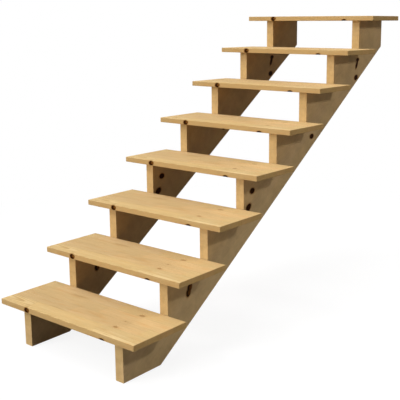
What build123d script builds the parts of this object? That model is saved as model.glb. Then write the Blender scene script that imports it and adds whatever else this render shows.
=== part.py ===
"""Open-riser wooden stair: eight glued pine treads on two sawtooth stringers, held by dowels.

The flight climbs towards +Y and is 800 mm wide along X. The origin is the middle of the top
tread's back edge, in the vertical plane where the flight bears on its landing, so the floor
lies below it and the first step in front of it. Sizes are in millimetres.
"""

import os
from math import atan2, cos

from build123d import *

os.makedirs("parts", exist_ok=True)

# Flight
tread_count = 8
rise = 170
going = 250

# Treads
tread_width = 800
tread_thickness = 24
nosing = 40
fitting_gap = 2
tread_arris = 2

# Stringers
side_overhang = 100
stringer_thickness = 44
board_width = 255
stringer_arris = 1

# Hidden fluted dowels, two at each seat of each stringer
dowel_radius = 5
dowel_flutes = 12
dowel_length = 40
dowel_chamfer = 1
glue_clearance = 0.1
dowel_inset = 60
dowel_depth_in_tread = 12
bore_end_gap = 1.5

# Worked out from the sizes above
tread_depth = going + nosing - fitting_gap
pitch = atan2(rise, going)
floor_height = -tread_count * rise - tread_thickness / 2
stringer_centre = tread_width / 2 - side_overhang - stringer_thickness / 2
dowel_bore_radius = dowel_radius + glue_clearance
foot_length = (board_width / cos(pitch) - rise) * going / rise

steps = range(1, tread_count + 1)
sides = {"left": -stringer_centre, "right": stringer_centre}
from_below = (180, 0, 0)


def nose_at(step):
    """Y of the front edge of a tread, counted from 1 at the floor."""
    return -tread_depth - (tread_count - step) * going


def riser_cut_at(step):
    """Y of the stringer's upright cut below the front of a tread."""
    return nose_at(step) + nosing


def seat_height(step):
    """Z of the level cut that a tread lies on."""
    return floor_height + step * rise


def seat_end(step):
    """Y where the seat of a tread ends, at the next riser cut or at the landing."""
    return min(riser_cut_at(step + 1), 0)


def dowel_points(step, centre):
    """Where the front and the back dowel of a seat cross its level cut."""
    return {
        "front": (centre, riser_cut_at(step) + dowel_inset, seat_height(step)),
        "back": (centre, seat_end(step) - dowel_inset, seat_height(step)),
    }


# Outline of a stringer in the YZ plane: foot, saw teeth, plumb cut at the landing, straight back
foot_front = (riser_cut_at(1), floor_height)
foot_back = (riser_cut_at(1) + foot_length, floor_height)
teeth = []
for step in steps:
    teeth += [(riser_cut_at(step), seat_height(step)), (seat_end(step), seat_height(step))]
plumb_cut_foot = (0, floor_height - foot_back[0] * rise / going)

for side, centre in sides.items():
    with BuildPart() as stringer:
        with BuildSketch(Plane.YZ.offset(centre)):
            with BuildLine():
                Polyline(foot_front, *teeth, plumb_cut_foot, foot_back, close=True)
            make_face()
        extrude(amount=stringer_thickness / 2, both=True)

        cheeks = stringer.faces().filter_by(Axis.X)
        chamfer(cheeks.edges(), stringer_arris)

        for step in steps:
            with Locations(*dowel_points(step, centre).values()):
                Hole(dowel_bore_radius, dowel_length - dowel_depth_in_tread + bore_end_gap)
    stringer.part.label = f"stringer_{side}"
    export_step(stringer.part, f"parts/stringer_{side}.step")

for step in steps:
    with BuildPart() as tread:
        with Locations((0, nose_at(step), seat_height(step))):
            Box(tread_width, tread_depth, tread_thickness, align=(Align.CENTER, Align.MIN, Align.MIN))
        chamfer(tread.edges(), tread_arris)

        for centre in sides.values():
            points = dowel_points(step, centre).values()
            with Locations(*[Location(point, from_below) for point in points]):
                Hole(dowel_bore_radius, dowel_depth_in_tread + bore_end_gap)
    tread.part.label = f"tread_{step}"
    export_step(tread.part, f"parts/tread_{step}.step")

for side, centre in sides.items():
    for step in steps:
        for place, point in dowel_points(step, centre).items():
            with BuildPart() as dowel:
                with BuildSketch(Plane(point).offset(dowel_depth_in_tread)):
                    RegularPolygon(dowel_radius, dowel_flutes)
                extrude(amount=-dowel_length)
                chamfer(dowel.faces().filter_by(Axis.Z).edges(), dowel_chamfer)
            dowel.part.label = f"dowel_{side}_{step}_{place}"
            export_step(dowel.part, f"parts/{dowel.part.label}.step")
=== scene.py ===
"""Dresses the open-riser pine stair: glued treads, sawtooth stringers and the hidden dowels.

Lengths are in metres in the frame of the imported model: +X across the flight, +Y the way it
climbs, +Z up, with the origin at the middle of the top tread's back edge.
"""

import logging
from collections.abc import Sequence
from dataclasses import dataclass, field
from enum import Enum
from itertools import product
from math import atan2, cos, pi, radians, sin, tan
from typing import ClassVar

import bmesh
import bpy
from mathutils import Euler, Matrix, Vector, noise

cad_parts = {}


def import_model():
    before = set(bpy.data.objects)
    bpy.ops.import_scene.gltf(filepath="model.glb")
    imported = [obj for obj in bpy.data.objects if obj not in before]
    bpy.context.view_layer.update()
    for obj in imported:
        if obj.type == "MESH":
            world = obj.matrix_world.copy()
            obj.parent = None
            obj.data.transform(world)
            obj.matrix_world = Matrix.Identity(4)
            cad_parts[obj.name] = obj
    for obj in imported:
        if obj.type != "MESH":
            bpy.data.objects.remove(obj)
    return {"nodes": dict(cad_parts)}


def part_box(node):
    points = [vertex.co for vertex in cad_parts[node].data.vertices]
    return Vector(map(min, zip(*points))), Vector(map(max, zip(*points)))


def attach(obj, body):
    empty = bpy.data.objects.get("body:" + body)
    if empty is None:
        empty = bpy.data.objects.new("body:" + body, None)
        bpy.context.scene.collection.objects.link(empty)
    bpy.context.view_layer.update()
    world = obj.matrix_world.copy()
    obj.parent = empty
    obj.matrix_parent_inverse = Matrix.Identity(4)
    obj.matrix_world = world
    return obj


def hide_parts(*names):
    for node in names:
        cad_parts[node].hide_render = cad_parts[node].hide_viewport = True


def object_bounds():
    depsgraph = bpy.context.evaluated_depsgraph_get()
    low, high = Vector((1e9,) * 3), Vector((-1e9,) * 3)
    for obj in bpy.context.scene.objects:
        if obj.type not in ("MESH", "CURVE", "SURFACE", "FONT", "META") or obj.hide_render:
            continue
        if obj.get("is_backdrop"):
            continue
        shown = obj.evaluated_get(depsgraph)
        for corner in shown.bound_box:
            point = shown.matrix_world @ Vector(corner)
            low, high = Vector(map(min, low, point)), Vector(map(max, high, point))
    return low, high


log = logging.getLogger("stair")

Triple = tuple[float, float, float]
Colour = Triple
Span = tuple[float, float]
Stops = tuple[tuple[float, Colour], ...]
Socket = bpy.types.NodeSocket

MM = 0.001
SHARP_CORNER = radians(40)

# A length that counts as none.
TOUCHING = 1e-9

# How far large flats outweigh the small faces of an arris in the shading, which is all the way.
FLATS_WEIGHT = 100

# Parts of a chance, of a smooth noise and of the way that a face lies, from 0 to 1.
WHOLE: Span = (0.0, 1.0)
NOISE_RANGE: Span = (0.3, 0.7)
FIBRE_RANGE: Span = (0.35, 0.65)
STREAK_RANGE: Span = (0.50, 0.74)
PATCH_RANGE: Span = (0.35, 0.7)
FLECK_RANGE: Span = (0.5, 0.72)
PINK_RANGE: Span = (0.3, 1.0)
NARROW_TO_WIDE: Span = (0.3, 0.9)
END_FACE: Span = (0.75, 0.95)

# Cells of a noise to the metre.
FINE_FIBRES = 1500.0
BROAD_FIBRES = 260.0
FLECKS = 1400.0
RIM_WANDERS = 90.0
PATCHES = 60.0

# Tints that the wood's colour is multiplied by.
HONEY: Colour = (1.0, 0.965, 0.88)
PINK: Colour = (1.02, 0.98, 1.05)
OPEN_PORES: Colour = (0.76, 0.70, 0.64)
SOILED: Colour = (0.93, 0.91, 0.88)

# Resinous and bleached streaks: the tint, their cells to the metre and what sets them apart.
STREAKS = (((0.96, 0.80, 0.62), 75.0, 0.0), ((1.07, 1.13, 1.24), 45.0, 3.1))


class Slot(Enum):
    """Names of the record's material slots for the treads and stringers, which the new pieces don't use."""

    TREAD = "pine_tread"
    STRINGER = "pine_stringer"


class Darkness(Enum):
    """How deep the colour of a knot is."""

    STAIN = "stain"
    PALE = "pale"
    DARK = "dark"


class NodeSheet:
    """Lays out the node tree of one material or of the world."""

    def __init__(self, owner: bpy.types.Material | bpy.types.World) -> None:
        """Clears the tree.

        Args:
            owner: The material or world that the tree belongs to.
        """
        owner.use_nodes = True
        self.owner = owner
        self.tree = owner.node_tree
        self.tree.nodes.clear()

    @classmethod
    def material(cls, name: str) -> "NodeSheet":
        """The empty sheet of a new material."""
        return cls(bpy.data.materials.new(name))

    def node(
        self, kind: str, inputs: dict[str | int, object] | None = None, **settings: object
    ) -> bpy.types.Node:
        """Adds one node.

        Args:
            kind: The node's type, without its ShaderNode prefix.
            inputs: A socket or a value for each input, by name or number.
            settings: Properties of the node.

        Returns:
            The new node.
        """
        made = self.tree.nodes.new(f"ShaderNode{kind}")
        for name, value in settings.items():
            setattr(made, name, value)
        for key, value in (inputs or {}).items():
            self.feed(made.inputs[key], value)
        return made

    def feed(self, target: Socket, value: object) -> None:
        """Links a socket to an input, or sets the input to a value.

        Args:
            target: The input.
            value: A socket or a plain value.
        """
        if isinstance(value, Socket):
            self.tree.links.new(value, target)
        else:
            target.default_value = value

    def math(self, operation: str, *values: Socket | float) -> Socket:
        """Result of one arithmetic step on numbers."""
        return self.node("Math", dict(enumerate(values)), operation=operation).outputs[0]

    def add(self, one: Socket | float, other: Socket | float) -> Socket:
        """Sum of two numbers."""
        return self.math("ADD", one, other)

    def times(self, one: Socket | float, other: Socket | float) -> Socket:
        """Product of two numbers."""
        return self.math("MULTIPLY", one, other)

    def vector(self, operation: str, *values: object, out: int = 0) -> Socket:
        """Result of one arithmetic step on vectors."""
        return self.node("VectorMath", dict(enumerate(values)), operation=operation).outputs[out]

    def scale(self, vector: Socket, factor: Socket | float) -> Socket:
        """A vector or colour made longer or brighter by a factor."""
        return self.node("VectorMath", {0: vector, 3: factor}, operation="SCALE").outputs[0]

    def join(self, x: Socket | float, y: Socket | float, z: Socket | float) -> Socket:
        """A vector from three numbers."""
        return self.node("CombineXYZ", {0: x, 1: y, 2: z}).outputs[0]

    def split(self, vector: Socket) -> Sequence[Socket]:
        """The three numbers of a vector."""
        return self.node("SeparateXYZ", {0: vector}).outputs

    def noise(self, vector: Socket, scale: float, detail: float = 2.0, roughness: float = 0.5) -> Socket:
        """Smooth noise from 0 to 1 at a number of cells to the metre."""
        inputs = {"Vector": vector, "Scale": scale, "Detail": detail, "Roughness": roughness}
        return self.node("TexNoise", inputs).outputs[0]

    def span(
        self,
        value: Socket,
        low: float,
        high: float,
        to_low: Socket | float = 0.0,
        to_high: Socket | float = 1.0,
    ) -> Socket:
        """Value carried smoothly from one range to another and held at its ends."""
        inputs = {"Value": value, 1: low, 2: high, 3: to_low, 4: to_high}
        return self.node("MapRange", inputs, interpolation_type="SMOOTHSTEP").outputs[0]

    def ellipsoid(self, place: Socket, centre: Triple, radii: Triple, turn: float) -> Socket:
        """Distance from the middle of an ellipsoid, where 1 is its surface.

        Args:
            place: The shaded point.
            centre: The ellipsoid's middle.
            radii: Half its size along each axis.
            turn: Its angle about the third axis.

        Returns:
            The distance.
        """
        inputs = {"Vector": place, "Location": centre, "Rotation": (0, 0, turn), "Scale": radii}
        local = self.node("Mapping", inputs, vector_type="TEXTURE").outputs[0]
        return self.vector("LENGTH", local, out=1)

    def facing(self, axis: Vector) -> Socket:
        """How squarely a face lies across an axis, from 0 to 1."""
        normal = self.node("TexCoord").outputs["Normal"]
        return self.math("ABSOLUTE", self.vector("DOT_PRODUCT", normal, tuple(axis), out=1))

    def seen(self) -> Socket:
        """Tells what is looked at from what lights other things.

        Returns:
            1 for the camera and in reflections and glass, and 0 elsewhere.
        """
        rays = self.node("LightPath").outputs
        seen = self.math("MAXIMUM", rays["Is Camera Ray"], rays["Is Glossy Ray"])
        return self.math("MAXIMUM", seen, rays["Is Transmission Ray"])

    def ramp(self, value: Socket, stops: Stops) -> Socket:
        """A colour between stops.

        Args:
            value: Place on the ramp, from 0 to 1.
            stops: Places and their colours.

        Returns:
            The colour.
        """
        made = self.node("ValToRGB", {0: value})
        elements = made.color_ramp.elements
        while len(elements) < len(stops):
            elements.new(0.5)
        for element, (place, colour) in zip(elements, stops):
            element.position = place
            element.color = (*colour, 1.0)
        return made.outputs[0]

    def mix(self, factor: Socket | float, under: object, over: object, blend: str = "MIX") -> Socket:
        """One colour laid on another.

        Args:
            factor: Strength of the upper one.
            under: The lower colour, a socket or three numbers.
            over: The upper colour, likewise.
            blend: How they mix.

        Returns:
            The mixed colour.
        """
        made = self.node("Mix", {0: factor}, data_type="RGBA", blend_type=blend)
        for place, colour in ((6, under), (7, over)):
            self.feed(made.inputs[place], (*colour, 1.0) if isinstance(colour, tuple) else colour)
        return made.outputs[2]

    def tinted(self, wood: Socket, tint: Colour) -> Socket:
        """A colour multiplied by a tint."""
        return self.mix(1.0, wood, tint, "MULTIPLY")

    def finish(self, shader: Socket, kind: str = "OutputMaterial") -> bpy.types.ID:
        """Ends the tree in this shader."""
        self.node(kind, {"Surface": shader})
        return self.owner


@dataclass(frozen=True)
class Knot:
    """The stub of a branch that runs through a board.

    Args:
        centre: Middle of the knot in the board's own coordinates.
        radii: Half its size along, across and through the board.
        turn: Angle of its long axis from the board's length, about the through axis.
        darkness: A tight dark knot, a pale one or only the stained wood beside one.
        heart: Middle of the brown core inside a black bark ring, from the knot's own middle.
        heart_share: Size of that core against the knot's.
    """

    centre: Triple
    radii: Triple
    turn: float = 0.0
    darkness: Darkness = Darkness.DARK
    heart: Triple | None = None
    heart_share: float = 0.6

    @classmethod
    def in_mm(
        cls,
        centre: Triple,
        radii: Triple,
        lean: float = 0.0,
        darkness: Darkness = Darkness.DARK,
        heart: Triple | None = None,
    ) -> "Knot":
        """A knot measured in millimetres and degrees.

        Args:
            centre: Its middle.
            radii: Half its size.
            lean: Its turn.
            darkness: How deep its colour is.
            heart: Middle of its brown core.

        Returns:
            The knot.
        """
        sizes = [tuple(part * MM for part in sized) for sized in (centre, radii, heart or ())]
        return cls(sizes[0], sizes[1], radians(lean), darkness, sizes[2] or None)

    def distance(self, sheet: NodeSheet, place: Socket) -> Socket:
        """Distance from the middle of the knot, where 1 is its rim."""
        return sheet.ellipsoid(place, self.centre, self.radii, self.turn)

    def heart_distance(self, sheet: NodeSheet, place: Socket) -> Socket:
        """Distance from the middle of the brown core, where 1 is its rim.

        Args:
            sheet: The material's sheet.
            place: The shaded point in the board's directions.

        Returns:
            The distance.
        """
        centre = tuple(c + h for c, h in zip(self.centre, self.heart))
        radii = tuple(r * self.heart_share for r in self.radii)
        return sheet.ellipsoid(place, centre, radii, self.turn)


@dataclass(frozen=True)
class KnotWood:
    """Colours of the knots and of the wood round them.

    Args:
        stain: Wood that a knot beside it has stained.
        halo: Wood round a pale knot.
        pale: A pale knot, from its middle to its rim.
        resin: Wood round a dark knot.
        bark: A dark knot, from its middle to its rim.
        heart: The brown core of a dark knot, from its middle to its rim.
    """

    stain: Colour = (0.36, 0.20, 0.055)
    halo: Colour = (0.52, 0.27, 0.085)
    pale: Stops = ((0.0, (0.30, 0.15, 0.045)), (0.5, (0.44, 0.24, 0.08)), (0.9, (0.26, 0.12, 0.035)))
    resin: Colour = (0.22, 0.075, 0.012)
    bark: Stops = ((0.0, (0.042, 0.013, 0.002)), (0.6, (0.028, 0.008, 0.001)), (0.9, (0.014, 0.004, 0.001)))
    heart: Stops = ((0.0, (0.19, 0.075, 0.014)), (0.7, (0.12, 0.042, 0.008)), (1.0, (0.15, 0.060, 0.014)))

    def over(self, sheet: NodeSheet, wood: Socket, knots: dict[str, Socket]) -> Socket:
        """Lays the knots and the stained wood round them over a board.

        Args:
            sheet: The material's sheet.
            wood: The colour of the board.
            knots: Distances from the knots, by kind.

        Returns:
            The board's colour with its knots.
        """
        layers = (
            ("stain", 0.1, 1.2, 0.45, self.stain),
            ("pale", 0.9, 2.4, 0.35, self.halo),
            ("pale", 0.75, 1.25, 0.8, sheet.ramp(knots["pale"], self.pale)),
            ("dark", 0.95, 1.65, 0.85, self.resin),
            ("dark", 0.95, 1.12, 1.0, sheet.ramp(knots["dark"], self.bark)),
            ("heart", 0.85, 1.25, 1.0, sheet.ramp(knots["heart"], self.heart)),
        )
        for kind, inside, outside, strength, colour in layers:
            wood = sheet.mix(sheet.span(knots[kind], inside, outside, strength, 0.0), wood, colour)
        return wood


@dataclass(frozen=True)
class Growth:
    """How the year rings lie in the blocks of a board.

    Args:
        year: Growth of one year.
        pith_side: How far the tree's pith lies to one side of the board's own zero, at most.
        pith_height: The highest and the lowest that it lies above that zero.
        lean: How steeply it may run through the board.
        drift: How steeply it runs across the board.
        bend: How far the rings wander.
        waves: How often they do so to the metre.
        stretch: How much more slowly they do so along the grain.
        swerve: How far a ring is pushed aside by a knot.
        swerve_reach: Where that begins to fade and where it ends, in sizes of the knot.
        darkens: The part of a year in which the late wood darkens.
        closes: The part of a year in which it ends.
    """

    year: float = 3.4 * MM
    pith_side: float = 50 * MM
    pith_height: Span = (90 * MM, 20 * MM)
    lean: float = 0.06
    drift: float = 0.02
    bend: float = 6 * MM
    waves: float = 22.0
    stretch: float = 0.12
    swerve: float = 9 * MM
    swerve_reach: Span = (0.6, 3.2)
    darkens: Span = (0.25, 0.85)
    closes: Span = (0.90, 1.0)

    def rings(self, sheet: NodeSheet, place: Socket, chance: Sequence[Socket], knot: Socket) -> Socket:
        """Year rings, cut by the board's faces and bent round its knots.

        Args:
            sheet: The material's sheet.
            place: The shaded point in the board's directions.
            chance: Three random numbers of the block.
            knot: Distance from the nearest knot.

        Returns:
            How much late wood there is, from 0 to 1.
        """
        along, across, through = sheet.split(place)
        highest, lowest = self.pith_height
        side = sheet.span(chance[0], *WHOLE, -self.pith_side, self.pith_side)
        depth = sheet.span(chance[1], *WHOLE, -highest, -lowest)
        lean = sheet.span(chance[2], *WHOLE, -self.lean, self.lean)
        bend = sheet.noise(sheet.join(sheet.times(along, self.stretch), across, through), self.waves)
        swerve = sheet.times(sheet.span(knot, *self.swerve_reach, 1.0, 0.0), self.swerve)
        y = sheet.add(sheet.add(across, side), sheet.times(along, self.drift))
        z = sheet.add(sheet.add(through, depth), sheet.times(along, lean))
        square = sheet.add(sheet.times(y, y), sheet.times(z, z))
        radius = sheet.add(sheet.math("SQRT", square), sheet.times(bend, self.bend))
        radius = sheet.add(radius, swerve)
        year = sheet.math("FRACT", sheet.math("DIVIDE", radius, self.year))
        return sheet.times(sheet.span(year, *self.darkens), sheet.span(year, *self.closes, 1.0, 0.0))


@dataclass(frozen=True)
class PlanedSurface:
    """How planed softwood feels and shines.

    Args:
        depth: Height that the bump is measured in.
        strength: Strength of the bump.
        ring: How far late wood stands up, as a share of the depth.
        fibre: How far fibres do.
        joint: How deep a glue line lies.
        crack: How deep a cracked dark knot lies.
        crack_reach: From where to where a knot is cracked, in sizes of the knot.
        matt: Roughness of the smoothest and of the roughest fibres.
        ring_shine: How much smoother late wood is.
        knot_shine: How much smoother a resinous knot is.
        knot_reach: From where to where it is, in sizes of the knot.
        mirror: Mirror strength of a dark knot and of the wood beyond it.
        mirror_reach: From where to where it changes, in sizes of the knot.
    """

    depth: float = 0.4 * MM
    strength: float = 0.6
    ring: float = 0.25
    fibre: float = 0.5
    joint: float = 0.5
    crack: float = 0.6
    crack_reach: Span = (0.82, 1.0)
    matt: Span = (0.58, 0.74)
    ring_shine: float = 0.07
    knot_shine: float = 0.14
    knot_reach: Span = (0.8, 1.1)
    mirror: Span = (0.005, 0.03)
    mirror_reach: Span = (0.9, 1.1)

    def shader(
        self, sheet: NodeSheet, wood: Socket, ring: Socket, fibre: Socket, joint: Socket, dark: Socket
    ) -> Socket:
        """The wood's shader, with raised late wood, open fibres, glue lines and cracked knots.

        Args:
            sheet: The material's sheet.
            wood: The colour.
            ring: How much late wood there is.
            fibre: The fibres.
            joint: A mask of the glue lines.
            dark: Distance from the nearest dark knot.

        Returns:
            The shader.
        """
        height = sheet.add(sheet.times(ring, self.ring), sheet.times(fibre, self.fibre))
        height = sheet.math("SUBTRACT", height, sheet.times(joint, self.joint))
        height = sheet.math("SUBTRACT", height, sheet.span(dark, *self.crack_reach, 0.0, self.crack))
        bump = sheet.node("Bump", {"Strength": self.strength, "Distance": self.depth, "Height": height})
        rough = sheet.span(fibre, *NOISE_RANGE, *self.matt)
        rough = sheet.math("SUBTRACT", rough, sheet.times(ring, self.ring_shine))
        rough = sheet.math("SUBTRACT", rough, sheet.span(dark, *self.knot_reach, self.knot_shine, 0.0))
        inputs = {
            "Base Color": wood,
            "Roughness": rough,
            "Specular IOR Level": sheet.span(dark, *self.mirror_reach, *self.mirror),
            "Normal": bump.outputs[0],
        }
        return sheet.node("BsdfPrincipled", inputs).outputs[0]


@dataclass(frozen=True)
class BoardAxes:
    """Directions of a board in its object's coordinates.

    Args:
        along: The way the grain runs.
        across: The way the staves lie beside each other.
        through: The thickness.
    """

    along: Vector = Vector((1, 0, 0))
    across: Vector = Vector((0, 1, 0))
    through: Vector = Vector((0, 0, 1))


@dataclass(frozen=True)
class Timber:
    """Planed softwood, glued from staves, with rings, fibres, glue lines and knots.

    Args:
        name: The material's name.
        axes: The board's directions.
        early: Colour of the pale wood that a tree grows in spring.
        late: Colour of the dark line that closes each year.
        stave: Width of one stave.
        block: Usual length between the finger joints of a stave.
        knots: The branches that cross the board.
        figure: How strongly the year rings show.
        contrast: How far the tone and tint differ from block to block.
        narrow_tint: Tint of the cut edges and ends.
        wide_tint_and_shade: Tint of the wide faces, which on the left stringer also holds painted shade.
        growth: How the year rings lie.
        edge_figure: Share of the figure that shows on the board's edges and ends.
        block_step: How far the tone differs from block to block at a contrast of 1.
        mottle: How much the tone drifts from place to place.
        clouds: How many such drifts there are to the metre along, across and through the board.
        streak: Strength of the resinous and the bleached streaks.
        lay: How fast streaks and fibres change across the board, where 1 is as fast as through it.
        streak_run: How much more slowly streaks change along the grain.
        fibre: How strongly single fibres show.
        fibre_run: How much more slowly they change along the grain.
        rim_wander: How far the rims of knots wander.
        finger: Depth of the fingers where two blocks of a stave meet.
        glue_line: Width of a glue line.
        glue_colour: Colour of a glue line.
        joint_depth: How dark a glue line is.
    """

    name: str
    axes: BoardAxes
    early: Colour
    late: Colour
    stave: float
    block: float
    knots: tuple[Knot, ...]
    figure: float
    contrast: float
    narrow_tint: Colour
    wide_tint_and_shade: Colour = (1.0, 1.0, 1.0)
    growth: Growth = Growth()
    edge_figure: float = 0.35
    block_step: float = 0.045
    mottle: float = 0.03
    clouds: Triple = (7.0, 17.0, 17.0)
    streak: float = 0.6
    lay: float = 1.0
    streak_run: float = 0.12
    fibre: float = 0.05
    fibre_run: float = 0.035
    rim_wander: float = 3 * MM
    finger: float = 5 * MM
    glue_line: float = 0.5 * MM
    glue_colour: Colour = (0.30, 0.17, 0.07)
    joint_depth: float = 0.55

    def material(self) -> bpy.types.Material:
        """Builds the finish.

        Returns:
            The material, ready for a board's mesh.
        """
        sheet = NodeSheet.material(self.name)
        place = self.board_place(sheet)
        chance, joint = self.staves(sheet, place)
        knots = self.knot_fields(sheet, place)
        nearest_knot = sheet.math("MINIMUM", knots["dark"], knots["pale"])
        ring = self.growth.rings(sheet, place, chance, nearest_knot)
        fibre = self.fibres(sheet, place)

        share = self.figure * self.edge_figure
        shown = sheet.times(ring, sheet.span(self.flatness(sheet), *NARROW_TO_WIDE, share, self.figure))
        wood = sheet.mix(shown, self.early, self.late)
        wood = self.tone(sheet, wood, place, chance, fibre)
        wood = self.streaks(sheet, wood, place)
        wood = self.face_tints(sheet, wood)
        wood = sheet.mix(sheet.times(joint, self.joint_depth), wood, self.glue_colour)
        wood = KnotWood().over(sheet, wood, knots)
        wood = self.worn_arris(sheet, wood, place)
        return sheet.finish(PlanedSurface().shader(sheet, wood, ring, fibre, joint, knots["dark"]))

    def board_place(self, sheet: NodeSheet) -> Socket:
        """The shaded point along, across and through the board.

        Args:
            sheet: The material's sheet.

        Returns:
            The point as a vector.
        """
        point = sheet.node("TexCoord").outputs["Object"]
        axes = (self.axes.along, self.axes.across, self.axes.through)
        return sheet.join(*[sheet.vector("DOT_PRODUCT", point, tuple(axis), out=1) for axis in axes])

    def flatness(self, sheet: NodeSheet) -> Socket:
        """How squarely a face lies across the board's thickness, which is 1 on the wide faces."""
        return sheet.facing(self.axes.through)

    def staves(self, sheet: NodeSheet, place: Socket) -> tuple[Sequence[Socket], Socket]:
        """Divides the board into glued blocks.

        Args:
            sheet: The material's sheet.
            place: The shaded point in the board's directions.

        Returns:
            Three random numbers for each block, and a mask of the glue lines.
        """
        along, across, _ = sheet.split(place)
        lane = sheet.math("DIVIDE", across, self.stave)
        row = sheet.math("FLOOR", lane)
        shift = sheet.node("TexWhiteNoise", {"W": row}, noise_dimensions="1D").outputs["Value"]
        fingers = sheet.math("PINGPONG", across, self.finger)
        run = sheet.add(sheet.math("DIVIDE", sheet.add(along, fingers), self.block), shift)
        cell = sheet.join(row, sheet.math("FLOOR", run), 0.0)
        random = sheet.node("TexWhiteNoise", {"Vector": cell}, noise_dimensions="3D").outputs["Color"]

        half = self.glue_line / 2
        lines = []
        for lanes, width, strength in ((lane, self.stave, 1.0), (run, self.block, 0.5)):
            gap = sheet.times(sheet.math("PINGPONG", lanes, 0.5), width)
            lines.append(sheet.span(gap, half, half * 3, strength, 0.0))
        return sheet.node("SeparateColor", {0: random}).outputs, sheet.math("MAXIMUM", *lines)

    def knot_fields(self, sheet: NodeSheet, place: Socket) -> dict[str, Socket]:
        """How far the point is from the knots, with 1 at a rim.

        Args:
            sheet: The material's sheet.
            place: The shaded point in the board's directions.

        Returns:
            Distance from the nearest knot of each darkness, and from the nearest brown heart.
        """
        inputs = {"Vector": place, "Scale": RIM_WANDERS, "Detail": 3.0}
        wander = sheet.vector("SUBTRACT", sheet.node("TexNoise", inputs).outputs["Color"], (0.5, 0.5, 0.5))
        wandered = sheet.vector("ADD", place, sheet.scale(wander, self.rim_wander))
        fields = {}
        for darkness in Darkness:
            near = [knot.distance(sheet, wandered) for knot in self.knots if knot.darkness is darkness]
            fields[darkness.value] = self.nearest(sheet, near)
        hearts = [knot.heart_distance(sheet, wandered) for knot in self.knots if knot.heart]
        fields["heart"] = self.nearest(sheet, hearts)
        return fields

    def nearest(self, sheet: NodeSheet, distances: Sequence[Socket], far: float = 9.0) -> Socket:
        """The least of some distances.

        Args:
            sheet: The material's sheet.
            distances: The distances.
            far: What stands for the distance where there are none.

        Returns:
            The least distance.
        """
        least = sheet.add(far, 0.0)
        for distance in distances:
            least = sheet.math("MINIMUM", least, distance)
        return least

    def fibres(self, sheet: NodeSheet, place: Socket) -> Socket:
        """Streaks that run with the grain, fine ones and broad ones in equal parts.

        Args:
            sheet: The material's sheet.
            place: The shaded point in the board's directions.

        Returns:
            The fibres, from 0 to 1.
        """
        drawn = sheet.vector("MULTIPLY", place, (self.fibre_run, self.lay, 1.0))
        fine = sheet.noise(drawn, FINE_FIBRES, 2.0, 0.6)
        broad = sheet.noise(drawn, BROAD_FIBRES, 3.0, 0.6)
        return sheet.add(sheet.times(fine, 0.5), sheet.times(broad, 0.5))

    def tone(
        self, sheet: NodeSheet, wood: Socket, place: Socket, chance: Sequence[Socket], fibre: Socket
    ) -> Socket:
        """Varies the colour from block to block, along each block and from fibre to fibre.

        Args:
            sheet: The material's sheet.
            wood: The colour so far.
            place: The shaded point in the board's directions.
            chance: Three random numbers of the block.
            fibre: The fibres.

        Returns:
            The varied colour.
        """
        cloud = sheet.noise(sheet.vector("MULTIPLY", place, self.clouds), 1.0, 3.0, 0.55)
        step = self.block_step * self.contrast
        level = sheet.span(chance[0], *WHOLE, 1.0 - step, 1.0 + step)
        drift = sheet.span(cloud, *NOISE_RANGE, -self.mottle, self.mottle)
        drift = sheet.add(drift, sheet.span(fibre, *FIBRE_RANGE, -self.fibre, self.fibre))
        drift = sheet.times(drift, sheet.span(self.flatness(sheet), *NARROW_TO_WIDE, self.edge_figure, 1.0))
        wood = sheet.scale(wood, sheet.add(level, drift))
        honey = sheet.span(chance[2], *WHOLE, 0.0, self.contrast)
        wood = sheet.mix(honey, wood, sheet.tinted(wood, HONEY))
        pink = sheet.span(chance[1], *PINK_RANGE, 0.0, self.contrast)
        return sheet.mix(pink, wood, sheet.tinted(wood, PINK))

    def streaks(self, sheet: NodeSheet, wood: Socket, place: Socket) -> Socket:
        """Lays a few resinous orange streaks and bleached ones along the grain.

        Args:
            sheet: The material's sheet.
            wood: The colour so far.
            place: The shaded point in the board's directions.

        Returns:
            The streaked colour.
        """
        drawn = sheet.vector("MULTIPLY", place, (self.streak_run * self.lay, self.lay, 1.0))
        for tint, cells, shift in STREAKS:
            shifted = sheet.vector("ADD", drawn, (0.0, shift, 0.0))
            there = sheet.span(sheet.noise(shifted, cells, 2.0, 0.55), *STREAK_RANGE, 0.0, self.streak)
            wood = sheet.mix(there, wood, sheet.tinted(wood, tint))
        return wood

    def face_tints(self, sheet: NodeSheet, wood: Socket) -> Socket:
        """Sets the cut edges apart from the wide faces, and darkens the faces across the fibres.

        Args:
            sheet: The material's sheet.
            wood: The colour so far.

        Returns:
            The tinted colour.
        """
        # The wide faces' tint also carries painted shade on the left stringer's cheeks.
        narrow, wide = sheet.tinted(wood, self.narrow_tint), sheet.tinted(wood, self.wide_tint_and_shade)
        wood = sheet.mix(sheet.span(self.flatness(sheet), *NARROW_TO_WIDE), narrow, wide)
        end = sheet.span(sheet.facing(self.axes.along), *END_FACE)
        return sheet.mix(end, wood, sheet.tinted(wood, OPEN_PORES))

    def worn_arris(self, sheet: NodeSheet, wood: Socket, place: Socket) -> Socket:
        """Soils the eased edges a little in places.

        Args:
            sheet: The material's sheet.
            wood: The colour so far.
            place: The shaded point in the board's directions.

        Returns:
            The colour with its worn edges.
        """
        arris = sheet.node("Attribute", attribute_name="arris").outputs["Fac"]
        patch = sheet.span(sheet.noise(place, PATCHES, 3.0), *PATCH_RANGE)
        return sheet.mix(sheet.times(arris, patch), wood, sheet.tinted(wood, SOILED))


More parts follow.
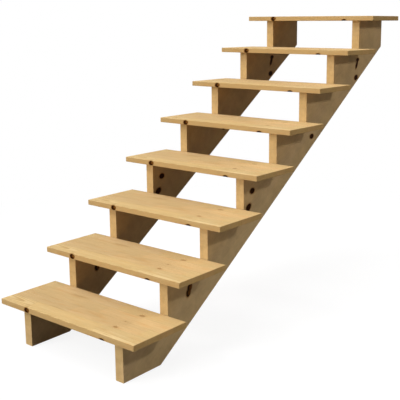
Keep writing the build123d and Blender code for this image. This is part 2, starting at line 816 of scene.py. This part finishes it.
@dataclass(frozen=True)
class TurnedBeech:
    """Bare beech of the fluted dowels, with short flecks along their length.

    Args:
        name: The material's name.
        light: Colour of the wood.
        fleck: Colour of the flecks.
        cloud: Colour of its paler places.
    """

    name: str = "bare_beech"
    light: Colour = (0.62, 0.40, 0.22)
    fleck: Colour = (0.40, 0.22, 0.10)
    cloud: Colour = (0.70, 0.48, 0.28)

    def material(self) -> bpy.types.Material:
        """Builds the finish.

        Returns:
            The material.
        """
        sheet = NodeSheet.material(self.name)
        point = sheet.node("TexCoord").outputs["Object"]
        flecks = sheet.noise(sheet.vector("MULTIPLY", point, (1.0, 1.0, 0.12)), FLECKS, 3.0)
        cloud = sheet.noise(point, PATCHES)
        wood = sheet.mix(sheet.span(flecks, *FLECK_RANGE), self.light, self.fleck)
        wood = sheet.mix(sheet.span(cloud, *NOISE_RANGE, 0.0, 0.35), wood, self.cloud)
        bump = sheet.node("Bump", {"Strength": 0.4, "Distance": 0.2 * MM, "Height": flecks}).outputs[0]
        rough = sheet.span(cloud, *NOISE_RANGE, 0.55, 0.7)
        inputs = {"Base Color": wood, "Roughness": rough, "Normal": bump}
        return sheet.finish(sheet.node("BsdfPrincipled", inputs).outputs[0])


def keep_mesh(bm: bmesh.types.BMesh, name: str, material: bpy.types.Material) -> bpy.types.Object:
    """Turns a finished bmesh into an object of the scene.

    Args:
        bm: The mesh, freed afterwards.
        name: Name of the object.
        material: Its finish.

    Returns:
        The object.
    """
    mesh = bpy.data.meshes.new(name)
    bm.to_mesh(mesh)
    bm.free()
    mesh.materials.append(material)
    made = bpy.data.objects.new(name, mesh)
    bpy.context.scene.collection.objects.link(made)
    return made


def keep_board(bm: bmesh.types.BMesh, node: str, material: bpy.types.Material) -> bpy.types.Object:
    """Turns a finished bmesh into a board with crisp corners and flat faces.

    Args:
        bm: The mesh, freed afterwards.
        node: The CAD node that the board stands for.
        material: Its finish.

    Returns:
        The piece.
    """
    bmesh.ops.recalc_face_normals(bm, faces=bm.faces[:])
    piece = keep_mesh(bm, f"{node}_board", material)
    piece.data.shade_smooth()
    piece.data.set_sharp_from_angle(angle=SHARP_CORNER)
    flats = piece.modifiers.new("flats", "WEIGHTED_NORMAL")
    flats.weight = FLATS_WEIGHT
    flats.keep_sharp = True
    return piece


def settle(piece: bpy.types.Object, node: str) -> None:
    """Puts a piece in place of its CAD node and reports it.

    Args:
        piece: The new piece.
        node: The node that it replaces.
    """
    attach(piece, "root")
    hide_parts(node)
    log.info("%s: a board with %d faces", piece.name, len(piece.data.polygons))


@dataclass(frozen=True)
class Flight:
    """Measures of the whole flight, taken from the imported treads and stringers.

    Args:
        treads: The treads' nodes, from the lowest up.
        rise: Height of one step.
        going: Depth of one step.
        nosing: How far a tread stands out over the front of its tooth.
    """

    treads: tuple[str, ...]
    rise: float
    going: float
    nosing: float

    @classmethod
    def measure(cls, nodes: dict[str, bpy.types.Object]) -> "Flight":
        """Reads the flight from its nodes.

        Args:
            nodes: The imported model's nodes by name.

        Returns:
            The measures.
        """
        numbers = sorted(int(name.removeprefix("tread_")) for name in nodes if name.startswith("tread_"))
        treads = tuple(f"tread_{number}" for number in numbers)
        first, second = [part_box(tread)[0] for tread in treads[:2]]
        step = second - first
        return cls(treads, step.z, step.y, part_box("stringer_left")[0].y - first.y)

    @property
    def pitch(self) -> float:
        """Angle of the flight above the floor."""
        return atan2(self.rise, self.going)


@dataclass
class Treads:
    """The eight boards to step on, each glued from four staves with eased edges.

    Args:
        flight: The flight's measures.
        arris: Radius of an eased edge.
        arris_cuts: Faces across half of it.
        wear_band: Width of the strip beside it.
        cell: Size of the mesh on the flats.
        wobble: How far sanding has moved an edge, at most.
        wobble_cells: How often it does so to the metre.
        stave_count: Staves in a board.
        pieces: The treads once built.
    """

    flight: Flight
    arris: float = 2 * MM
    arris_cuts: int = 3
    wear_band: float = 4 * MM
    cell: float = 20 * MM
    wobble: float = 0.12 * MM
    wobble_cells: float = 17.0
    stave_count: int = 4
    pieces: list[bpy.types.Object] = field(default_factory=list)

    knots: ClassVar[tuple[Knot, ...]] = (
        Knot.in_mm((-228, 0, 11), (13, 9, 10.5), heart=(9.5, 0, 2.5)),
        Knot.in_mm((228, 0, 2.5), (12, 30, 5)),
        Knot.in_mm((217, 83, 12), (10, 6, 90), -8, Darkness.PALE),
        Knot.in_mm((219, 227, 12), (12, 7, 90), 12, Darkness.PALE),
        Knot.in_mm((207, 146, 12), (5, 2.5, 90), 0, Darkness.PALE),
        Knot.in_mm((-187, 226, 12), (16, 6, 90), -6, Darkness.STAIN),
        Knot.in_mm((-145, 224, 12), (66, 7, 90), 0, Darkness.STAIN),
        Knot.in_mm((-130, 77, 12), (60, 5, 90), 0, Darkness.STAIN),
    )

    def build(self) -> None:
        """Makes every tread."""
        low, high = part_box(self.flight.treads[0])
        finish = Timber(
            "oiled_pine_tread",
            BoardAxes(),
            early=(0.70, 0.515, 0.258),
            late=(0.53, 0.342, 0.138),
            stave=(high.y - low.y) / self.stave_count,
            block=0.404,
            knots=self.knots,
            figure=0.9,
            contrast=0.7,
            fibre=0.065,
            narrow_tint=(1.03, 0.98, 0.85),
        ).material()
        for node in self.flight.treads:
            piece = self.board(node, finish)
            settle(piece, node)
            self.pieces.append(piece)

    def board(self, node: str, finish: bpy.types.Material) -> bpy.types.Object:
        """Makes one tread where its node is.

        Args:
            node: The tread's CAD node.
            finish: The wood.

        Returns:
            The board, with its own coordinates from the middle of its front bottom edge.
        """
        low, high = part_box(node)
        size = high - low
        grid = [self.stations(length) for length in size]
        bm = bmesh.new()
        worn = bm.verts.layers.float.new("arris")
        corners: dict[tuple[int, int, int], bmesh.types.BMVert] = {}

        def vertex(key: tuple[int, int, int]) -> bmesh.types.BMVert:
            """The eased vertex at one crossing of the grid.

            Args:
                key: Its numbers along the grid's three sides.

            Returns:
                The vertex, made at its first use.
            """
            if key not in corners:
                raw = Vector([line[k] for line, k in zip(grid, key)])
                eased, edge = self.ease(raw, size)
                corners[key] = bm.verts.new(eased - Vector((size.x / 2, 0, 0)))
                corners[key][worn] = edge
            return corners[key]

        last = [len(line) - 1 for line in grid]
        for axis in range(3):
            u, v = [k for k in range(3) if k != axis]
            for end, i, j in product((0, last[axis]), range(last[u]), range(last[v])):
                keys = []
                for di, dj in ((0, 0), (1, 0), (1, 1), (0, 1)):
                    key = [0, 0, 0]
                    key[axis], key[u], key[v] = end, i + di, j + dj
                    keys.append(tuple(key))
                bm.faces.new([vertex(key) for key in keys])
        piece = keep_board(bm, node, finish)
        piece.location = ((low.x + high.x) / 2, low.y, low.z)
        return piece

    def stations(self, length: float) -> list[float]:
        """Grid lines along one side: close over the arris, then evenly spaced.

        Args:
            length: The side's length.

        Returns:
            Places along the side.
        """
        cuts = range(self.arris_cuts, -1, -1)
        arc = [self.arris * (1 - tan(pi / 4 * cut / self.arris_cuts)) for cut in cuts]
        inner = length - 2 * (self.arris + self.wear_band)
        cells = max(1, round(inner / self.cell))
        middle = [self.arris + self.wear_band + inner * k / cells for k in range(cells + 1)]
        return arc + middle + [length - place for place in reversed(arc)]

    def ease(self, point: Vector, size: Vector) -> tuple[Vector, float]:
        """Rounds a point of the sharp box onto the eased board.

        Args:
            point: A point on the box from its lowest corner.
            size: The box.

        Returns:
            The rounded point, and 1 on an arris or 0 on a flat.
        """
        core = Vector([min(max(p, self.arris), s - self.arris) for p, s in zip(point, size)])
        out = point - core
        on_arris = sum(1 for part in out if abs(part) > TOUCHING) > 1
        drift = abs(noise.noise(point * self.wobble_cells)) * self.wobble if on_arris else 0.0
        return core + out.normalized() * (self.arris - drift), float(on_arris)


@dataclass(frozen=True)
class CheekKnot:
    """A dark knot on a stringer's cheek, in millimetres in the frame of the flight.

    Args:
        y: Place of its middle along the way the flight climbs.
        z: Height of its middle.
        long: Half its longer size.
        short: Half its shorter size.
        lean: Angle of its longer size above the level, in degrees.
        open_side: How far up the flight its brown core lies from its middle, or 0 for none.
    """

    y: float
    z: float
    long: float
    short: float
    lean: float
    open_side: float = 0.0


def is_cheek(face: bmesh.types.BMFace) -> bool:
    """Whether a face is a stringer's whole cheek and not one of the quads round it."""
    return len(face.verts) > 4


@dataclass
class Stringers:
    """The two sawtooth boards under the treads, cut square at the floor and plumb at the landing.

    Args:
        flight: The flight's measures.
        board_width: Width of the board that a stringer is cut from.
        arris: Radius of the eased edges along its cheeks.
        arris_cuts: Faces across one.
        wear_band: Width of the strip beside one.
        stave: Width of a stave.
        knot_reach: Half a knot's length, which is enough for it to cross both boards.
        pieces: The stringers once built.
    """

    flight: Flight
    board_width: float = 255 * MM
    arris: float = 1.2 * MM
    arris_cuts: int = 3
    wear_band: float = 4 * MM
    stave: float = 64 * MM
    knot_reach: float = 10.0
    pieces: list[bpy.types.Object] = field(default_factory=list)

    # Cheek tints: the left board's are darker than the right's as painted shade, standing for the shadow
    # that the treads and the right stringer cast on its inner cheek.
    cheek_tints_and_painted_shade: ClassVar[dict[str, Colour]] = {"left": (0.74, 0.73, 0.70), "right": (0.85, 0.855, 0.82)}
    cheek_knots: ClassVar[tuple[CheekKnot, ...]] = (
        CheekKnot(-1615, -1096, 17, 12, 68, open_side=5),
        CheekKnot(-1623, -1116, 17, 12, 68, open_side=5),
        CheekKnot(-1186, -763, 16, 12, 10),
        CheekKnot(-1213, -834, 19, 13, 35),
        CheekKnot(-698, -573, 16, 11, 5),
        CheekKnot(-258, -216, 14, 9, 10),
        CheekKnot(-266, -240, 22, 9, 65),
        CheekKnot(-271, -308, 17, 12, 15),
    )

    def build(self) -> None:
        """Makes both stringers."""
        for side, wide_tint_and_shade in self.cheek_tints_and_painted_shade.items():
            node = f"stringer_{side}"
            piece = self.board(node, self.finish(side, wide_tint_and_shade).material())
            settle(piece, node)
            self.pieces.append(piece)

    def finish(self, side: str, wide_tint_and_shade: Colour) -> Timber:
        """The wood of one stringer.

        Args:
            side: Left or right.
            wide_tint_and_shade: Tint of its cheeks, darker on the left board as painted shade.

        Returns:
            The finish.
        """
        pitch = self.flight.pitch
        along, across = Vector((0, cos(pitch), sin(pitch))), Vector((0, -sin(pitch), cos(pitch)))
        axes = BoardAxes(along, across, Vector((1, 0, 0)))
        return Timber(
            f"oiled_pine_stringer_{side}",
            axes,
            early=(0.67, 0.46, 0.235),
            late=(0.52, 0.325, 0.14),
            stave=self.stave,
            block=0.62,
            knots=self.knots(axes),
            growth=Growth(bend=3 * MM),
            figure=0.10,
            edge_figure=0.9,
            contrast=0.35,
            mottle=0.07,
            clouds=(14.0, 14.0, 14.0),
            streak=0.2,
            lay=0.06,
            wide_tint_and_shade=wide_tint_and_shade,
            narrow_tint=(0.90, 0.915, 0.83),
            joint_depth=0.25,
        )

    def knots(self, axes: BoardAxes) -> tuple[Knot, ...]:
        """The dark knots that show on both cheeks, from their places in the flight.

        Args:
            axes: The stringer board's directions.

        Returns:
            The knots in the board's coordinates.
        """
        made = []
        for seen in self.cheek_knots:
            point = Vector((0, seen.y * MM, seen.z * MM))
            centre = (point.dot(axes.along), point.dot(axes.across), 0.0)
            radii = (seen.long * MM, seen.short * MM, self.knot_reach)
            beside = Vector((0, seen.open_side * MM, 0))
            heart = (beside.dot(axes.along), beside.dot(axes.across), 0.0) if seen.open_side else None
            made.append(Knot(centre, radii, radians(seen.lean) - self.flight.pitch, heart=heart))
        return tuple(made)

    def outline(self, low: Vector, high: Vector) -> list[tuple[float, float]]:
        """Points of the cheek from the front of the foot, up the teeth and down the back.

        Args:
            low: The node's lowest corner.
            high: The node's highest corner.

        Returns:
            Points along Y and Z.
        """
        flight = self.flight
        points = [(low.y, low.z)]
        for node in flight.treads:
            nose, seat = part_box(node)[0].yz
            cut = nose + flight.nosing
            points += [(cut, seat), (min(cut + flight.going, high.y), seat)]
        back_rise = self.board_width / cos(flight.pitch) - flight.rise
        heel = low.y + back_rise * flight.going / flight.rise
        points.append((high.y, low.z + (high.y - heel) * flight.rise / flight.going))
        points.append((heel, low.z))
        return points

    def board(self, node: str, finish: bpy.types.Material) -> bpy.types.Object:
        """Makes one stringer where its node is.

        Args:
            node: The stringer's CAD node.
            finish: The wood.

        Returns:
            The board, in the coordinates of the flight.
        """
        low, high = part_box(node)
        bm = bmesh.new()
        worn = bm.verts.layers.float.new("arris")
        cheek = bm.faces.new([bm.verts.new((low.x, y, z)) for y, z in self.outline(low, high)])
        pulled = bmesh.ops.extrude_face_region(bm, geom=[cheek])["geom"]
        far_side = [part for part in pulled if isinstance(part, bmesh.types.BMVert)]
        bmesh.ops.translate(bm, vec=(high.x - low.x, 0, 0), verts=far_side)
        rims = [edge for edge in bm.edges if any(is_cheek(face) for face in edge.link_faces)]
        bmesh.ops.bevel(
            bm, geom=rims, offset=self.arris, segments=self.arris_cuts, profile=0.5, affect="EDGES"
        )
        for vertex in bm.verts:
            vertex[worn] = 1.0
        cheeks = [face for face in bm.faces if is_cheek(face)]
        bmesh.ops.inset_region(bm, faces=cheeks, thickness=self.wear_band, use_even_offset=True)
        for vertex in {v for face in bm.faces if is_cheek(face) for v in face.verts}:
            vertex[worn] = 0.0
        return keep_board(bm, node, finish)


@dataclass
class Dowels:
    """The fluted pegs inside the joints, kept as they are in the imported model.

    Args:
        nodes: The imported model's nodes by name.
    """

    nodes: dict[str, bpy.types.Object]

    def dress(self) -> None:
        """Gives each dowel its wood."""
        finish = TurnedBeech().material()
        dowels = [node for name, node in self.nodes.items() if name.startswith("dowel_")]
        for dowel in dowels:
            dowel.data.materials.clear()
            dowel.data.materials.append(finish)
        log.info("dowels: %d in bare beech", len(dowels))


@dataclass(frozen=True)
class Sun:
    """A soft lamp far away.

    Args:
        name: The lamp's name.
        strength: Its power.
        height: Angle above the floor that it shines from, in degrees.
        side: Angle from the front that it stands at, positive to the right, in degrees.
        softness: Angle that it fills, in degrees.
    """

    name: str
    strength: float
    height: float
    side: float
    softness: float

    def hang(self) -> None:
        """Puts the lamp in the scene."""
        lamp = bpy.data.lights.new(self.name, "SUN")
        lamp.energy = self.strength
        lamp.angle = radians(self.softness)
        holder = bpy.data.objects.new(self.name, lamp)
        holder.rotation_euler = Euler((pi / 2 - radians(self.height), 0, radians(self.side)), "XYZ")
        bpy.context.scene.collection.objects.link(holder)


@dataclass(frozen=True)
class SoftBox:
    """A round soft box near the flight, turned to its middle.

    Args:
        name: The lamp's name.
        power: Its power in watts.
        offset: Its place from the middle of the flight.
        size: Its diameter.
        even: Whether it is as bright on the far steps as on the near ones.
    """

    name: str
    power: float
    offset: Triple
    size: float
    even: bool

    def stand(self, middle: Vector) -> None:
        """Puts the lamp in the scene.

        Args:
            middle: Point in the middle of the flight.
        """
        lamp = bpy.data.lights.new(self.name, "AREA")
        lamp.shape = "DISK"
        lamp.size = self.size
        lamp.energy = self.power
        if self.even:
            lamp.use_nodes = True
            nodes, links = lamp.node_tree.nodes, lamp.node_tree.links
            falloff = nodes.new("ShaderNodeLightFalloff")
            falloff.inputs["Strength"].default_value = 1.0
            links.new(falloff.outputs["Constant"], nodes["Emission"].inputs["Strength"])
        offset = Vector(self.offset)
        holder = bpy.data.objects.new(self.name, lamp)
        holder.location = middle + offset
        holder.rotation_euler = (-offset).to_track_quat("-Z", "Y").to_euler()
        holder.visible_camera = False
        bpy.context.scene.collection.objects.link(holder)


@dataclass(frozen=True)
class Studio:
    """A white sweep with plain soft light.

    Args:
        floor_height: Height of the floor under the feet.
        middle: Point in the middle of the flight.
        ambient: Strength of the light from all round.
        air: Colour of that light.
        floor_size: Side of the square floor.
        floor_shade: How grey the floor is to the camera under the flight.
        shade_reach: Distances from the middle between which it fades to white.
        floor_level: How bright the lamps make a white floor.
        bounce: How much light the floor throws back near the flight and far from it.
        bounce_reach: Distances from the middle between which that changes.
        suns: The far lamps.
        boxes: The near lamps.
    """

    floor_height: float
    middle: Vector
    ambient: float = 0.05
    air: Colour = (1.0, 0.97, 0.92)
    floor_size: float = 60.0
    floor_shade: float = 0.18
    shade_reach: Span = (0.4, 2.6)
    floor_level: float = 0.80
    bounce: Span = (0.18, 0.12)
    bounce_reach: Span = (1.0, 2.4)
    suns: tuple[Sun, ...] = (
        Sun("front_key", 1.2, 40, -30, 18),
        Sun("front_fill", 2.05, 11, -15, 40),
        Sun("top_light", 1.3, 75, 0, 40),
        Sun("left_light", 0.75, 40, -80, 40),
        Sun("back_light", 0.8, 20, 178, 60),
    )
    boxes: tuple[SoftBox, ...] = (
        SoftBox("right_light", 2.3, (2.3, 1.0, 1.43), 0.25, even=True),
        SoftBox("foot_light", 1.6, (1.6, -0.7, -0.5), 0.5, even=False),
    )

    def build(self) -> None:
        """Makes the surroundings, the floor and the lamps."""
        self.surroundings()
        self.floor()
        for sun in self.suns:
            sun.hang()
        for box in self.boxes:
            box.stand(self.middle)

    def surroundings(self) -> None:
        """A plain pale sky that looks white to the camera and in reflections."""
        world = bpy.data.worlds.new("studio_air")
        bpy.context.scene.world = world
        sheet = NodeSheet(world)
        light = sheet.node("Background", {"Color": (*self.air, 1.0), "Strength": self.ambient})
        white = sheet.node("Background", {"Color": (1.0, 1.0, 1.0, 1.0), "Strength": 1.0})
        mix = sheet.node("MixShader", {0: sheet.seen(), 1: light.outputs[0], 2: white.outputs[0]})
        sheet.finish(mix.outputs[0], "OutputWorld")

    def floor(self) -> None:
        """A pale floor that fades to white and keeps a soft shadow near the feet."""
        sheet = NodeSheet.material("pale_floor")
        reach = sheet.vector("LENGTH", sheet.node("TexCoord").outputs["Object"], out=1)
        seen = sheet.seen()
        shade = sheet.span(reach, *self.shade_reach, self.floor_shade, 0.0)
        bounce = sheet.span(reach, *self.bounce_reach, *self.bounce)
        grey = sheet.span(seen, *WHOLE, bounce, shade)
        matt = sheet.node("BsdfDiffuse", {"Color": sheet.join(grey, grey, grey)}).outputs[0]
        missing = sheet.math("SUBTRACT", 1.0, sheet.times(shade, self.floor_level))
        inputs = {"Color": (1, 1, 1, 1), "Strength": sheet.times(seen, missing)}
        glow = sheet.node("Emission", inputs).outputs[0]
        material = sheet.finish(sheet.node("AddShader", {0: matt, 1: glow}).outputs[0])
        bm = bmesh.new()
        bmesh.ops.create_grid(bm, x_segments=2, y_segments=2, size=self.floor_size / 2)
        floor = keep_mesh(bm, "floor", material)
        floor.location = (self.middle.x, self.middle.y, self.floor_height)
        floor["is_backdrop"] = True


@dataclass(frozen=True)
class Viewpoint:
    """Where the photograph was taken from, worked out from the flight's own edges.

    Args:
        place: The camera's place.
        tilt: Its angle up from looking straight down, in degrees.
        roll: Its lean to one side, in degrees.
        heading: Its turn from the way the flight climbs, in degrees.
        lens: Its focal length in millimetres.
        sensor: Its sensor's width in millimetres.
        shift_x: How far the frame lies to the side of its axis, in frame widths.
        shift_y: How far it lies above it.
        far_limit: The farthest that it sees.
    """

    place: Triple = (2.3022, -3.8562, -0.0233)
    tilt: float = 79.233
    roll: float = 0.081
    heading: float = 37.893
    lens: float = 68.567
    sensor: float = 36.0
    shift_x: float = -0.09645
    shift_y: float = -0.08041
    far_limit: float = 100.0

    def build(self) -> None:
        """Makes the camera and looks through it."""
        camera = bpy.data.cameras.new("photo_view")
        camera.sensor_width = self.sensor
        camera.lens = self.lens
        camera.shift_x, camera.shift_y = self.shift_x, self.shift_y
        camera.clip_end = self.far_limit
        holder = bpy.data.objects.new("photo_view", camera)
        holder.location = self.place
        turns = (radians(self.tilt), radians(self.roll), radians(self.heading))
        holder.rotation_euler = Euler(turns, "XYZ")
        bpy.context.scene.collection.objects.link(holder)
        bpy.context.scene.camera = holder


def corners(bounds: tuple[Vector, Vector]) -> list[list[float]]:
    """The two corners of a box as plain lists of numbers."""
    return [[float(number) for number in corner] for corner in bounds]


def main() -> None:
    """Builds the stair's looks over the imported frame."""
    logging.basicConfig(level=logging.INFO, format="%(message)s")
    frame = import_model()
    cad_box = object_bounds()
    bpy.context.scene.view_settings.view_transform = "Standard"

    flight = Flight.measure(frame["nodes"])
    treads = Treads(flight)
    treads.build()
    stringers = Stringers(flight)
    stringers.build()
    Dowels(frame["nodes"]).dress()

    low, high = cad_box
    Studio(low.z, (low + high) / 2).build()
    Viewpoint().build()

    log.info("stair: %d treads and %d stringers", len(treads.pieces), len(stringers.pieces))


if __name__ == "__main__":
    main()
